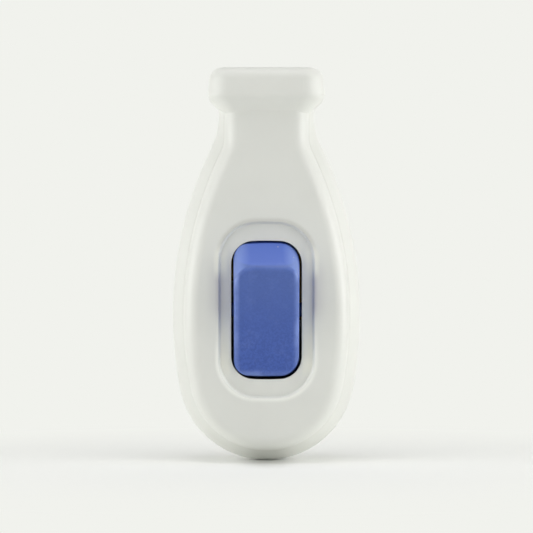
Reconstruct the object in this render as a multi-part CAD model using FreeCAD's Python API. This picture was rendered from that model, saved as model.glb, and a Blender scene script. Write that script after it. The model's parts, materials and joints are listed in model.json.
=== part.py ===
# Pendant cord switch: two moulded shells, a rocker and the contact set that it works.
# Millimetres. +Z runs up the body to the cord entry, the front faces -Y and the shells part at y = 0.
# The origin is the middle of the cord entry's mouth, on top of the collar.
import FreeCAD
import Part
import math
import os

Vector = FreeCAD.Vector
ALONG_X = Vector(1, 0, 0)
ALONG_Y = Vector(0, 1, 0)
ALONG_Z = Vector(0, 0, 1)
TOUCH = 1e-4

# Body outline seen from the front, heights counted up from the bottom end
bottom_radius = 15.75
belly_swell = 0.98
side_radius = 68.5
neck_half_width = 8.45
neck_blend_radius = 14.0
neck_length = 0.9
neck_cavity_length = 0.5

# Body section from front to back, depths counted from the parting plane
front_depth = 6.0
rear_depth = 14.0
neck_rear_depth = 8.2
widest_depth = 3.0
back_shoulder_radius = 20.0
parting_inset = 2.0
parting_neck_inset = 0.95
front_draft = 0.6
front_edge_radius = 2.4
flare_edge_radius = 5.0
back_edge_radius = 4.0
wall = 2.0

# Collar round the cord entry
collar_height = 6.6
collar_half_width = 10.3
collar_front_step = 1.8
collar_back_step = 1.8
collar_corner_radius = 4.0
collar_draft = 0.45
collar_top_radius = 2.2
collar_ridge_height = 1.4
collar_ridge_radius = 1.4
collar_under_drop = 3.2
collar_under_side_step = 3.5
collar_under_end_step = 2.3
collar_under_corner_radius = 2.0
cord_bore_radius = 3.5

# Joint between the two shells
parting_groove_width = 0.2
parting_groove_depth = 0.35
tongue_thickness = 0.9
tongue_height = 1.0
tongue_end_below_grip = 2.5
joint_clearance = 0.1

# Recess round the rocker
dish_half_width = 8.4
dish_half_length = 15.45
dish_corner_radius = 6.6
dish_end_radius = 45.0
dish_depth = 0.7
dish_edge = 0.38

# Rocker, heights counted from its pivot towards its face
rocker_height = 26.93
pivot_depth = 4.7
rocker_tilt = 16.0
rocker_half_width = 5.78
rocker_half_length = 12.35
rocker_base_height = 0.75
rocker_face_height = 7.42
rocker_face_half_length = 9.86
rocker_side_draft = 0.12
rocker_corner_radius = 3.5
rocker_face_corner_radius = 2.5
rocker_end_radius = 60.0
rocker_edge_radius = 0.85
rocker_wall = 1.4
rocker_skirt = 1.6
rocker_gap = 0.42
trunnion_radius = 1.25
trunnion_length = 2.0
running_clearance = 0.05

# Bearings of the rocker
bearing_setback = 0.25
bearing_thickness = 2.4
bearing_half_height = 2.9
bearing_overlap = 1.0
bearing_foot = 1.0

# Plunger and its spring in the rocker's stem
stem_radius = 2.4
stem_reach = 4.2
plunger_radius = 1.3
plunger_top = 0.8
nose_reach = 7.0
spring_length = 4.3
spring_wire_radius = 0.2
spring_play = 0.15
spring_turns = 5
spring_wire_sides = 8

# Contact lever, a shallow V that rocks under the plunger
nose_gap = 0.4
lever_thickness = 0.8
lever_half_width = 2.2
lever_half_length = 8.2
lever_arm_angle = 14.0
lever_ratio = 0.5
lever_pin_radius = 0.6
lever_pin_length = 1.4

# Contact rivets
contact_station = 7.0
contact_radius = 1.3
contact_rim = 0.3
contact_dome = 0.4
contact_shank_radius = 0.7
contact_gap = 0.15
rivet_clearance = 0.02

# Terminal strips, clamps and their screws
strip_thickness = 0.8
cradle_height = 1.7
cradle_half_length = 2.0
cradle_ear_gap = 0.4
cradle_ear_rise = 0.7
strip_bar_width = 2.8
strip_pad_half_length = 1.9
strip_pad_half_width = 2.2
clamp_below_grip = 3.45
clamp_offset = 6.2
clamp_half_width = 2.1
clamp_half_length = 2.2
clamp_depth = 4.6
wire_hole_radius = 1.3
wire_hole_rise = 2.0
clamp_screw_radius = 0.95
clamp_screw_tip = 0.5
clamp_screw_head_radius = 1.6
clamp_screw_head_height = 1.1
stop_half_length = 0.8

# Cord grip, an arched bar on two posts
grip_below_neck = 10.7
grip_seat = 0.9
grip_ear_thickness = 1.5
grip_side_gap = 0.4
grip_half_length = 1.7
grip_arch_radius = 2.5
grip_arch_thickness = 0.9
grip_screw_edge = 1.5
grip_screw_radius = 0.85
grip_screw_head_radius = 1.4
grip_screw_head_height = 1.0
grip_screw_length = 5.0
grip_post_radius = 1.55
cord_saddle_half_length = 1.0

# Housing screws, driven from the back
lower_screw_height = 7.6
upper_screw_above_clamps = 0.5
housing_screw_radius = 1.35
housing_screw_head_radius = 2.5
housing_screw_head_height = 1.9
housing_screw_seat = 5.0
housing_screw_length = 8.4
screw_head_clearance = 0.3
front_boss_radius = 2.7
rear_boss_radius = 3.6
screw_slot_width = 0.7
screw_slot_depth = 0.6

# Sizes that follow from the ones above
side_offset = side_radius - bottom_radius - belly_swell
side_rise = math.sqrt((side_radius - bottom_radius) ** 2 - side_offset ** 2)
side_height = bottom_radius + side_rise
heel = math.atan2(side_rise, side_offset)
shoulder = math.acos((neck_half_width + neck_blend_radius + side_offset)
                     / (side_radius + neck_blend_radius))
neck_start = side_height + (side_radius + neck_blend_radius) * math.sin(shoulder)
collar_base = neck_start + neck_length
overall_length = collar_base + collar_height
neck_top = collar_base + collar_height / 2
under_end = collar_base + collar_ridge_height - collar_under_drop
cavity_top = neck_start + neck_cavity_length

pivot_y = pivot_depth - front_depth
dish_floor_y = dish_depth - front_depth
inner_face_y = wall - front_depth
swing_radius = math.hypot(rocker_half_length, rocker_base_height)
opening_half_width = rocker_half_width + rocker_gap
bearing_inner = opening_half_width + bearing_setback
bearing_outer = bearing_inner + bearing_thickness

lever_y = pivot_y + nose_reach + nose_gap + lever_thickness / 2
lever_tilt = rocker_tilt * lever_ratio
closed_slope = math.radians(lever_arm_angle - lever_tilt)
strip_top = lever_y + cradle_height
deck_y = strip_top + strip_thickness
dome_radius = (contact_radius ** 2 + contact_dome ** 2) / (2 * contact_dome)
dome_centre = lever_thickness / 2 + contact_rim + contact_dome - dome_radius
contact_face_y = (lever_y - contact_station * math.sin(closed_slope)
                  + dome_centre * math.cos(closed_slope) + dome_radius + contact_gap)
contact_height = rocker_height + contact_station * math.cos(closed_slope)
stop_inner = contact_station - stop_half_length
stop_y = (lever_y - stop_inner * math.sin(closed_slope)
          + lever_thickness / 2 * math.cos(closed_slope) + contact_gap)
ear_inner = lever_half_width + cradle_ear_gap
ear_outer = ear_inner + strip_thickness
clamp_top_y = strip_top - clamp_depth
grip_height = neck_start - grip_below_neck
inner_side = side_radius - parting_inset - wall
grip_rise = grip_height + grip_half_length - side_height
grip_half_width = math.sqrt(inner_side ** 2 - grip_rise ** 2) - side_offset - grip_side_gap
grip_screw_offset = grip_half_width - grip_screw_edge
clamp_height = grip_height - grip_post_radius - clamp_below_grip - clamp_half_length
clamp_end = clamp_height + clamp_half_length
upper_screw_height = clamp_height + upper_screw_above_clamps
screw_heights = (lower_screw_height, upper_screw_height)


def point(x, y, height):
    """Point given by its height above the bottom end."""
    return Vector(x, y, height - overall_length)


def box(x_span, y_span, height_span):
    """Block between two x, two y and two heights."""
    corner = point(x_span[0], y_span[0], height_span[0])
    sizes = [span[1] - span[0] for span in (x_span, y_span, height_span)]
    return Part.makeBox(sizes[0], sizes[1], sizes[2], corner)


def rod_y(x, height, radius, y_start, y_end):
    """Round bar along Y between two depths."""
    return Part.makeCylinder(radius, y_end - y_start, point(x, y_start, height), ALONG_Y)


def rod_z(x, y, radius, bottom, top):
    """Round bar along Z between two heights."""
    return Part.makeCylinder(radius, top - bottom, point(x, y, bottom), ALONG_Z)


def rod_x(y, height, radius, x_start, x_end):
    """Round bar along X between two places."""
    return Part.makeCylinder(radius, x_end - x_start, point(x_start, y, height), ALONG_X)


def tilt(shape, y, angle):
    """Turn a shape about the X line through the rocker's height at depth y."""
    turned = shape.copy()
    turned.rotate(point(0, y, rocker_height), ALONG_X, angle)
    return turned


def middle(edge):
    """Point halfway along an edge."""
    return edge.valueAt((edge.FirstParameter + edge.LastParameter) / 2)


def lies_at(edge, y):
    """True for an edge that lies whole at one depth."""
    ends = [vertex.Point for vertex in edge.Vertexes] + [middle(edge)]
    return all(abs(end.y - y) < TOUCH for end in ends)


def below_neck_top(edge):
    """True for an edge that isn't the flat end of the neck, inside the collar."""
    return middle(edge).z < neck_top - overall_length - TOUCH


def arc(start, through, end):
    """Arc edge through three points."""
    return Part.Arc(start, through, end).toShape()


def pear_wire(y, inset, neck_inset, top):
    """Body outline at depth y, inset from the widest one, with its flat end at height top."""
    side = side_radius - inset
    blend = neck_blend_radius + (neck_inset - inset * math.cos(shoulder)) / (1 - math.cos(shoulder))
    neck = neck_half_width - neck_inset
    blend_height = side_height + (side + blend) * math.sin(shoulder)

    def on_side(angle, hand):
        across = side * math.cos(angle) - side_offset
        return point(hand * across, y, side_height + side * math.sin(angle))

    def on_blend(angle, hand):
        across = neck + blend - blend * math.cos(angle)
        return point(hand * across, y, blend_height - blend * math.sin(angle))

    edges = []
    for hand in (1, -1):
        neck_end = point(hand * neck, y, top)
        run = [
            Part.LineSegment(neck_end, on_blend(0, hand)).toShape(),
            arc(on_blend(0, hand), on_blend(shoulder / 2, hand), on_side(shoulder, hand)),
            arc(on_side(shoulder, hand), on_side((shoulder - heel) / 2, hand), on_side(-heel, hand)),
        ]
        edges.append(run)
    lowest = point(0, y, inset)
    foot = arc(on_side(-heel, 1), lowest, on_side(-heel, -1))
    head = Part.LineSegment(point(-neck, y, top), point(neck, y, top)).toShape()
    return Part.Wire(edges[0] + [foot] + edges[1][::-1] + [head])


def parting_wire(y, inset, top):
    """Outline of the shells' joint, inset by an even amount."""
    return pear_wire(y, parting_inset + inset, parting_neck_inset + inset, top)


def panel_wire(y, half_width, half_length, corner, end_radius):
    """Long rounded outline with bowed ends, centred on the rocker's height."""
    end_centre = half_length - end_radius
    corner_x = half_width - corner
    corner_up = end_centre + math.sqrt((end_radius - corner) ** 2 - corner_x ** 2)
    lean = math.atan2(corner_up - end_centre, corner_x)

    def spot(x, up):
        return point(x, y, rocker_height + up)

    def on_corner(angle, hand, way):
        return spot(hand * (corner_x + corner * math.cos(angle)),
                    way * (corner_up + corner * math.sin(angle)))

    def corner_arc(hand, way):
        return arc(on_corner(0, hand, way), on_corner(lean / 2, hand, way), on_corner(lean, hand, way))

    def end_arc(way):
        return arc(on_corner(lean, 1, way), spot(0, way * half_length), on_corner(lean, -1, way))

    def side_line(hand):
        return Part.LineSegment(on_corner(0, hand, 1), on_corner(0, hand, -1)).toShape()

    return Part.Wire([corner_arc(1, 1), end_arc(1), corner_arc(-1, 1), side_line(-1),
                      corner_arc(-1, -1), end_arc(-1), corner_arc(1, -1), side_line(1)])


def ruled(first, last):
    """Solid with straight walls between two outlines."""
    return Part.makeLoft([first, last], True, True)


def bowed_block(depths, half_widths, half_lengths, corners):
    """Block between two depths with drafted sides, sloped bowed ends and round corners."""
    reach = 2 * max(half_lengths)
    low = rocker_height - reach
    section = [point(-half_widths[0], depths[0], low), point(half_widths[0], depths[0], low),
               point(half_widths[1], depths[1], low), point(-half_widths[1], depths[1], low)]
    block = Part.Face(Part.makePolygon(section + section[:1])).extrude(Vector(0, 0, 2 * reach))
    for way in (1, -1):
        foot = point(0, depths[0], rocker_height + way * half_lengths[0])
        head = point(0, depths[1], rocker_height + way * half_lengths[1])
        along = (head - foot).normalize()
        inward = Vector(0, along.z, -along.y) * (way * math.copysign(1, along.y))
        start = foot + inward * rocker_end_radius - along * reach
        block = block.common(Part.makeCylinder(rocker_end_radius, 3 * reach, start, along))

    def at_corner(edge):
        steep = abs(edge.Vertexes[0].Y - edge.Vertexes[-1].Y) > TOUCH
        return steep and abs(middle(edge).x) > min(half_widths) / 2
    return block.makeFillet(corners[0], corners[1], [edge for edge in block.Edges if at_corner(edge)])


def back_prism(inset):
    """Space in front of the back surface, which steps in from the belly to the neck."""
    deep = rear_depth - inset
    shallow = neck_rear_depth - inset
    convex = back_shoulder_radius - inset
    concave = back_shoulder_radius + inset
    turn = math.acos(1 - (rear_depth - neck_rear_depth) / (2 * back_shoulder_radius))
    end = neck_start
    start = end - 2 * back_shoulder_radius * math.sin(turn)
    half = 2 * collar_half_width

    def on_convex(angle):
        return point(-half, deep - convex + convex * math.cos(angle), start + convex * math.sin(angle))

    def on_concave(angle):
        return point(-half, shallow + concave - concave * math.cos(angle), end - concave * math.sin(angle))

    low = -bottom_radius
    edges = [
        Part.LineSegment(point(-half, 0, low), point(-half, deep, low)).toShape(),
        Part.LineSegment(point(-half, deep, low), on_convex(0)).toShape(),
        arc(on_convex(0), on_convex(turn / 2), on_convex(turn)),
        arc(on_concave(turn), on_concave(turn / 2), on_concave(0)),
        Part.LineSegment(on_concave(0), point(-half, shallow, overall_length)).toShape(),
        Part.LineSegment(point(-half, shallow, overall_length), point(-half, 0, overall_length)).toShape(),
        Part.LineSegment(point(-half, 0, overall_length), point(-half, 0, low)).toShape(),
    ]
    return Part.Face(Part.Wire(edges)).extrude(Vector(2 * half, 0, 0))


def round_back(shape, radius):
    """Round the edge between the side walls and the back surface."""
    def on_rim(edge):
        spot = middle(edge)
        way = edge.tangentAt((edge.FirstParameter + edge.LastParameter) / 2)
        across = abs(way.x) > 1 - TOUCH and abs(spot.x) < TOUCH and abs(way.z) < TOUCH
        flat_across = across and edge.Curve.TypeId == "Part::GeomLine"
        along_y = abs(way.y) > 1 - TOUCH
        behind = spot.y > widest_depth + flare_edge_radius / 4
        return behind and below_neck_top(edge) and not flat_across and not along_y
    return shape.makeFillet(radius, [edge for edge in shape.Edges if on_rim(edge)])


def collar_wire(height, side_inset, end_inset, corner):
    """Collar's rounded outline at a height, inset from its widest."""
    half = collar_half_width - side_inset
    front = end_inset - front_depth - collar_front_step
    back = neck_rear_depth + collar_back_step - end_inset
    block = box((-half, half), (front, back), (height, overall_length + collar_height))
    uprights = [edge for edge in block.Edges if abs(edge.tangentAt(edge.FirstParameter).z) > 1 - TOUCH]
    block = block.makeFillet(corner, uprights)
    floor = min(block.Faces, key=lambda face: face.CenterOfMass.z)
    return floor.OuterWire


def collar_block():
    """Collar, whole, with drafted walls and an underside that slants into the neck."""
    ridge_height = collar_base + collar_ridge_height
    widest = collar_wire(ridge_height, 0, 0, collar_corner_radius)
    lowest = collar_wire(under_end, collar_under_side_step, collar_under_end_step,
                         collar_under_corner_radius)
    top = collar_wire(overall_length, collar_draft, collar_draft, collar_corner_radius - collar_draft)
    block = ruled(lowest, widest).fuse(ruled(widest, top)).removeSplitter()

    def edges_at(height):
        level = height - overall_length
        return [edge for edge in block.Edges
                if all(abs(end.Point.z - level) < TOUCH for end in edge.Vertexes)]
    block = block.makeFillet(collar_ridge_radius, edges_at(ridge_height))
    return block.makeFillet(collar_top_radius, edges_at(overall_length))


def half_space(front):
    """Large block on one side of the parting plane."""
    reach = 2 * overall_length
    y_span = (-reach, 0) if front else (0, reach)
    return box((-reach, reach), y_span, (-reach, 2 * reach))


def add_collar(body, front):
    """Join half the collar to a shell."""
    return body.fuse(collar_block().common(half_space(front))).removeSplitter()


def front_outer():
    """Front shell's outer form, filled."""
    body = ruled(parting_wire(0, 0, neck_top), parting_wire(-front_depth, front_draft, neck_top))
    rim = [edge for edge in body.Edges if lies_at(edge, -front_depth) and below_neck_top(edge)]
    return add_collar(body.makeFillet(front_edge_radius, rim), True)


def rear_block(inset, top):
    """Rear shell's flared body before its edges are rounded."""
    widest = pear_wire(widest_depth, inset, inset, top)
    flare = ruled(parting_wire(0, inset, top), widest)
    trunk = Part.Face(widest).extrude(Vector(0, rear_depth, 0))
    return flare.fuse(trunk).removeSplitter()


def rear_outer():
    """Rear shell's outer form, filled."""
    body = rear_block(0, neck_top)
    ridge = [edge for edge in body.Edges if lies_at(edge, widest_depth) and below_neck_top(edge)]
    body = body.makeFillet(flare_edge_radius, ridge)
    return add_collar(round_back(body.common(back_prism(0)), back_edge_radius), False)


def cord_bore():
    """Round hole for the cord, from the mouth down into the neck."""
    return rod_z(0, 0, cord_bore_radius, cavity_top - TOUCH, overall_length)


def tongue(clearance):
    """Rim that locates the front shell in the rear one, with room all round it."""
    inner = wall
    outer = wall - tongue_thickness - clearance
    height = Vector(0, tongue_height + clearance, 0)
    ring = Part.Face(parting_wire(0, outer, cavity_top)).extrude(height)
    ring = ring.cut(Part.Face(parting_wire(0, inner, cavity_top)).extrude(height))
    reach = 2 * bottom_radius
    limit = grip_height - tongue_end_below_grip + clearance
    return ring.common(box((-reach, reach), (0, reach), (-reach, limit)))


def opening_half_length(y):
    """Half the opening's length at a depth, clear of the rocker's swing."""
    return math.sqrt(swing_radius ** 2 - (pivot_y - y) ** 2) + rocker_gap


def opening():
    """Hole for the rocker, wider inwards."""
    depths = (dish_floor_y - TOUCH, inner_face_y + TOUCH)
    half_lengths = [opening_half_length(y) for y in depths]
    corner = rocker_corner_radius + rocker_gap
    return bowed_block(depths, (opening_half_width, opening_half_width), half_lengths, (corner, corner))


def dish():
    """Shallow recess with a sloped edge."""
    rim = panel_wire(-front_depth, dish_half_width, dish_half_length, dish_corner_radius, dish_end_radius)
    floor = panel_wire(dish_floor_y, dish_half_width - dish_edge, dish_half_length - dish_edge,
                       dish_corner_radius - dish_edge, dish_end_radius - dish_edge)
    return ruled(rim, floor)


def bearing_block(hand):
    """Notched block that takes one trunnion from behind."""
    x_span = sorted((hand * bearing_inner, hand * bearing_outer))
    end = pivot_y + trunnion_radius + bearing_overlap
    block = box(x_span, (inner_face_y - TOUCH, end),
                (rocker_height - bearing_half_height, rocker_height + bearing_half_height))
    notch_radius = trunnion_radius + running_clearance
    notch = rod_x(pivot_y, rocker_height, notch_radius, x_span[0], x_span[1])
    slot = box(x_span, (pivot_y, end), (rocker_height - notch_radius, rocker_height + notch_radius))
    return block.cut(notch.fuse(slot))


def front_shell():
    """Front shell with its recess, opening, bearings and screw bosses."""
    outer = front_outer()
    cavity = ruled(parting_wire(0, wall, cavity_top),
                   parting_wire(inner_face_y, wall + front_draft * -inner_face_y / front_depth, cavity_top))
    shell = outer.cut(cavity).cut(cord_bore()).cut(dish()).cut(opening())
    height = Vector(0, parting_groove_width, 0)
    ring = Part.Face(parting_wire(-parting_groove_width, -wall, neck_top)).extrude(height)
    core = Part.Face(parting_wire(-parting_groove_width, parting_groove_depth, neck_top)).extrude(height)
    reach = 2 * bottom_radius
    below_collar = box((-reach, reach), (-front_depth, 0), (-reach, under_end))
    shell = shell.cut(ring.cut(core).common(below_collar))
    for height_up in screw_heights:
        boss = rod_y(0, height_up, front_boss_radius, inner_face_y - TOUCH, 0)
        pilot_end = housing_screw_seat - housing_screw_length - joint_clearance
        pilot = rod_y(0, height_up, housing_screw_radius + running_clearance, pilot_end, 0)
        shell = shell.fuse(boss).cut(pilot)
    for hand in (1, -1):
        shell = shell.fuse(bearing_block(hand))
    return shell.fuse(tongue(0)).removeSplitter()


def bearing_post(hand):
    """Post of the rear shell that closes one bearing."""
    x_span = sorted((hand * (bearing_inner + joint_clearance), hand * (bearing_outer - joint_clearance)))
    half = trunnion_radius + running_clearance - joint_clearance
    tip = pivot_y + trunnion_radius + running_clearance
    end = pivot_y + trunnion_radius + bearing_overlap + joint_clearance
    foot_half = half + bearing_foot
    finger = box(x_span, (tip, rear_depth), (rocker_height - half, rocker_height + half))
    foot = box(x_span, (end, rear_depth), (rocker_height - foot_half, rocker_height + foot_half))
    return finger.fuse(foot)


def deck():
    """Raised floor under the terminal strips."""
    half = clamp_offset + clamp_half_width
    return box((-half, half), (deck_y, rear_depth), (rocker_height - cradle_half_length, clamp_end))


def lever_stop():
    """Rib that the lever's free arm comes down on."""
    centre = rocker_height - contact_station
    return box((-lever_half_width, lever_half_width), (stop_y, rear_depth),
               (centre - stop_half_length, centre + stop_half_length))


def grip_posts():
    """Two posts for the cord grip and the saddle between them."""
    span = (grip_height - cord_saddle_half_length, grip_height + cord_saddle_half_length)
    saddle = box((-grip_screw_offset, grip_screw_offset), (grip_seat, rear_depth), span)
    for hand in (1, -1):
        saddle = saddle.fuse(rod_y(hand * grip_screw_offset, grip_height, grip_post_radius,
                                   grip_seat, rear_depth))
    return saddle.cut(rod_z(0, 0, cord_bore_radius, span[0], span[1]))


def rear_shell():
    """Rear shell with its deck, posts, bosses and screw holes."""
    outer = rear_outer()
    cavity = rear_block(wall, cavity_top).common(back_prism(wall))
    shell = outer.cut(cavity).cut(cord_bore())
    inside = [deck(), lever_stop(), grip_posts(), bearing_post(1), bearing_post(-1)]
    inside += [rod_y(0, height, rear_boss_radius, 0, rear_depth) for height in screw_heights]
    for piece in inside:
        shell = shell.fuse(piece.common(outer))
    shell = shell.cut(tongue(joint_clearance))
    for height in screw_heights:
        shank = rod_y(0, height, housing_screw_radius + joint_clearance, 0, rear_depth)
        head = rod_y(0, height, housing_screw_head_radius + screw_head_clearance,
                     housing_screw_seat, rear_depth)
        shell = shell.cut(shank.fuse(head))
    for hand in (1, -1):
        pilot_end = grip_seat - grip_ear_thickness + grip_screw_length + joint_clearance
        pilot = rod_y(hand * grip_screw_offset, grip_height, grip_screw_radius + running_clearance,
                      grip_seat, pilot_end)
        shell = shell.cut(pilot)
    return shell.removeSplitter()


def rocker_block(inset, base, face):
    """Rocker's sloped form between two heights over its pivot, inset evenly."""
    rise = rocker_face_height - rocker_base_height
    slope = (rocker_half_length - rocker_face_half_length) / rise
    draft = rocker_side_draft / rise
    levels = (base, face)
    half_widths = [rocker_half_width - draft * (up - rocker_base_height) - inset for up in levels]
    half_lengths = [rocker_half_length - slope * (up - rocker_base_height) - inset for up in levels]
    depths = [pivot_y - up for up in levels]
    corners = [radius - inset / 2 for radius in (rocker_corner_radius, rocker_face_corner_radius)]
    return bowed_block(depths, half_widths, half_lengths, corners)


def rocker():
    """Hollow rocker with its stem and trunnions, tilted as at rest."""
    cap = rocker_block(0, rocker_base_height, rocker_face_height)
    rim = [edge for edge in cap.Edges if lies_at(edge, pivot_y - rocker_face_height)]
    cap = cap.makeFillet(rocker_edge_radius, rim)
    skirt_half_length = math.sqrt(swing_radius ** 2 - rocker_skirt ** 2)
    skirt_inset = rocker_half_length - skirt_half_length
    skirt_half_width = rocker_half_width - skirt_inset
    skirt_corner = rocker_corner_radius - skirt_inset
    skirt = bowed_block((pivot_y - rocker_base_height - TOUCH, pivot_y + rocker_skirt),
                        (skirt_half_width, skirt_half_width), (skirt_half_length, skirt_half_length),
                        (skirt_corner, skirt_corner))
    hollow_top = rocker_face_height - rocker_wall
    body = cap.fuse(skirt).cut(rocker_block(rocker_wall, -rocker_skirt, hollow_top))
    stem = rod_y(0, rocker_height, stem_radius, pivot_y - hollow_top - TOUCH, pivot_y + stem_reach)
    bore = rod_y(0, rocker_height, plunger_radius + running_clearance,
                 pivot_y + plunger_top - spring_length, pivot_y + stem_reach)
    body = body.fuse(stem).cut(bore)
    for hand in (1, -1):
        inner_end = rocker_half_width - rocker_wall / 2
        ends = sorted((hand * inner_end, hand * (rocker_half_width + trunnion_length)))
        body = body.fuse(rod_x(pivot_y, rocker_height, trunnion_radius, ends[0], ends[1]))
    return tilt(body.removeSplitter(), pivot_y, rocker_tilt)


def plunger():
    """Round-nosed pin that slides in the rocker's stem."""
    nose_centre = pivot_y + nose_reach - plunger_radius
    pin = rod_y(0, rocker_height, plunger_radius, pivot_y + plunger_top, nose_centre)
    nose = Part.makeSphere(plunger_radius, point(0, nose_centre, rocker_height))
    return tilt(pin.fuse(nose).removeSplitter(), pivot_y, rocker_tilt)


def plunger_spring():
    """Coil spring between the stem's bore end and the plunger."""
    coil_radius = plunger_radius - spring_play - spring_wire_radius
    height = spring_length - 2 * spring_wire_radius
    helix = Part.makeHelix(height / spring_turns, height, coil_radius)
    turns = [2 * math.pi * side / spring_wire_sides for side in range(spring_wire_sides)]
    corners = [Vector(coil_radius + spring_wire_radius * math.cos(turn), 0,
                      spring_wire_radius * math.sin(turn)) for turn in turns]
    wire = Part.makePolygon(corners + corners[:1])
    coil = Part.Wire(helix.Edges).makePipeShell([wire], True, True)
    coil.rotate(Vector(0, 0, 0), ALONG_X, -90)
    coil.translate(point(0, pivot_y + plunger_top - spring_length + spring_wire_radius, rocker_height))
    return tilt(coil, pivot_y, rocker_tilt)


def contact_lever():
    """V-shaped strip on two pins, tilted as at rest."""
    lean = math.radians(lever_arm_angle)
    half = lever_thickness / 2

    def spot(along, over, way):
        up = along * math.cos(lean) - over * math.sin(lean)
        rise = along * math.sin(lean) + over * math.cos(lean)
        return point(-lever_half_width, lever_y - rise, rocker_height + way * up)

    apex = half / math.cos(lean)
    profile = [
        point(-lever_half_width, lever_y - apex, rocker_height),
        spot(lever_half_length, half, 1),
        spot(lever_half_length, -half, 1),
        point(-lever_half_width, lever_y + apex, rocker_height),
        spot(lever_half_length, -half, -1),
        spot(lever_half_length, half, -1),
    ]
    strip = Part.Face(Part.makePolygon(profile + profile[:1])).extrude(Vector(2 * lever_half_width, 0, 0))
    reach = lever_half_width + lever_pin_length
    strip = strip.fuse(rod_x(lever_y, rocker_height, lever_pin_radius, -reach, reach))
    hole = rod_y(0, rocker_height + contact_station, contact_shank_radius + rivet_clearance,
                 lever_y - lever_thickness, lever_y + lever_thickness)
    strip = strip.cut(tilt(hole, lever_y, lever_arm_angle))
    return tilt(strip.removeSplitter(), lever_y, -lever_tilt)


def lever_contact():
    """Domed rivet on the lever's working arm."""
    under = lever_y + lever_thickness / 2
    height = rocker_height + contact_station

    def spot(across, over):
        return point(across, under + over, height)

    rim_end = contact_rim
    crown = contact_rim + contact_dome
    dome_mid = dome_radius - math.sqrt(dome_radius ** 2 - (contact_radius / 2) ** 2)
    edges = [
        Part.LineSegment(spot(0, 0), spot(contact_radius, 0)).toShape(),
        Part.LineSegment(spot(contact_radius, 0), spot(contact_radius, rim_end)).toShape(),
        arc(spot(contact_radius, rim_end), spot(contact_radius / 2, crown - dome_mid), spot(0, crown)),
        Part.LineSegment(spot(0, crown), spot(0, 0)).toShape(),
    ]
    head = Part.Face(Part.Wire(edges)).revolve(point(0, under, height), ALONG_Y, 360)
    shank = rod_y(0, height, contact_shank_radius, under - lever_thickness, under)
    rivet = head.fuse(shank).removeSplitter()
    return tilt(rivet, lever_y, lever_arm_angle - lever_tilt)


def strip_block(x_span, height_span):
    """Flat length of terminal strip on the deck."""
    return box(x_span, (strip_top, deck_y), height_span)


def cradle_ear(hand):
    """Notched ear that one lever pin rocks in."""
    x_span = sorted((hand * ear_inner, hand * ear_outer))
    top = lever_y - lever_pin_radius - cradle_ear_rise
    ear = box(x_span, (top, strip_top),
              (rocker_height - cradle_half_length, rocker_height + cradle_half_length))
    notch_radius = lever_pin_radius + running_clearance
    notch = rod_x(lever_y, rocker_height, notch_radius, x_span[0], x_span[1])
    slot = box(x_span, (top, lever_y), (rocker_height - notch_radius, rocker_height + notch_radius))
    return ear.cut(notch.fuse(slot))


def common_terminal():
    """Strip with the lever's cradle, led up beside the lever to its clamp."""
    low = rocker_height - cradle_half_length
    bar_end = ear_outer + strip_bar_width
    base = strip_block((-ear_outer, bar_end), (low, rocker_height + cradle_half_length))
    tab_start = clamp_height - clamp_half_length
    bar = strip_block((ear_outer, bar_end), (low, tab_start + strip_thickness))
    tab = strip_block((clamp_offset - clamp_half_width, clamp_offset + clamp_half_width),
                      (tab_start, clamp_end))
    strip = base.fuse(bar).fuse(tab)
    for hand in (1, -1):
        strip = strip.fuse(cradle_ear(hand))
    return strip.removeSplitter()


def fixed_terminal():
    """Strip under the fixed contact, led up on the other side to its clamp."""
    pad_span = (contact_height - strip_pad_half_length, contact_height + strip_pad_half_length)
    outer = -clamp_offset - clamp_half_width
    inner = -clamp_offset + clamp_half_width
    pad = strip_block((outer, strip_pad_half_width), pad_span)
    bar = strip_block((outer, inner), (pad_span[0], clamp_end))
    hole = rod_y(0, contact_height, contact_shank_radius + rivet_clearance, strip_top, deck_y)
    return pad.fuse(bar).cut(hole).removeSplitter()


def fixed_contact():
    """Flat rivet that the lever's contact meets."""
    head = rod_y(0, contact_height, contact_radius, contact_face_y, strip_top)
    shank = rod_y(0, contact_height, contact_shank_radius, strip_top, deck_y)
    return head.fuse(shank).removeSplitter()


def wire_clamp(hand):
    """Pillar clamp with a wire hole and a screw hole."""
    centre = hand * clamp_offset
    span = (clamp_height - clamp_half_length, clamp_end)
    block = box((centre - clamp_half_width, centre + clamp_half_width), (clamp_top_y, strip_top), span)
    wire_y = strip_top - wire_hole_rise
    block = block.cut(rod_z(centre, wire_y, wire_hole_radius, span[0], span[1]))
    hole = rod_y(centre, clamp_height, clamp_screw_radius + running_clearance, clamp_top_y, wire_y)
    return block.cut(hole)


def slotted_screw(x, height, seat, tip, radius, head_radius, head_height):
    """Screw along Y with its head outside the seat; tip lies at the other end of its shank."""
    way = 1 if tip > seat else -1
    head_end = seat - way * head_height
    shank_ends = sorted((seat, tip))
    head_ends = sorted((head_end, seat))
    shank = rod_y(x, height, radius, shank_ends[0], shank_ends[1])
    head = rod_y(x, height, head_radius, head_ends[0], head_ends[1])
    slot_ends = sorted((head_end, head_end + way * screw_slot_depth))
    slot = box((x - head_radius, x + head_radius), slot_ends,
               (height - screw_slot_width / 2, height + screw_slot_width / 2))
    return shank.fuse(head).cut(slot).removeSplitter()


def terminal_screws():
    """Two clamp screws."""
    tip = strip_top - wire_hole_rise - wire_hole_radius + clamp_screw_tip
    return Part.makeCompound([
        slotted_screw(hand * clamp_offset, clamp_height, clamp_top_y, tip, clamp_screw_radius,
                      clamp_screw_head_radius, clamp_screw_head_height) for hand in (1, -1)])


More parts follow.
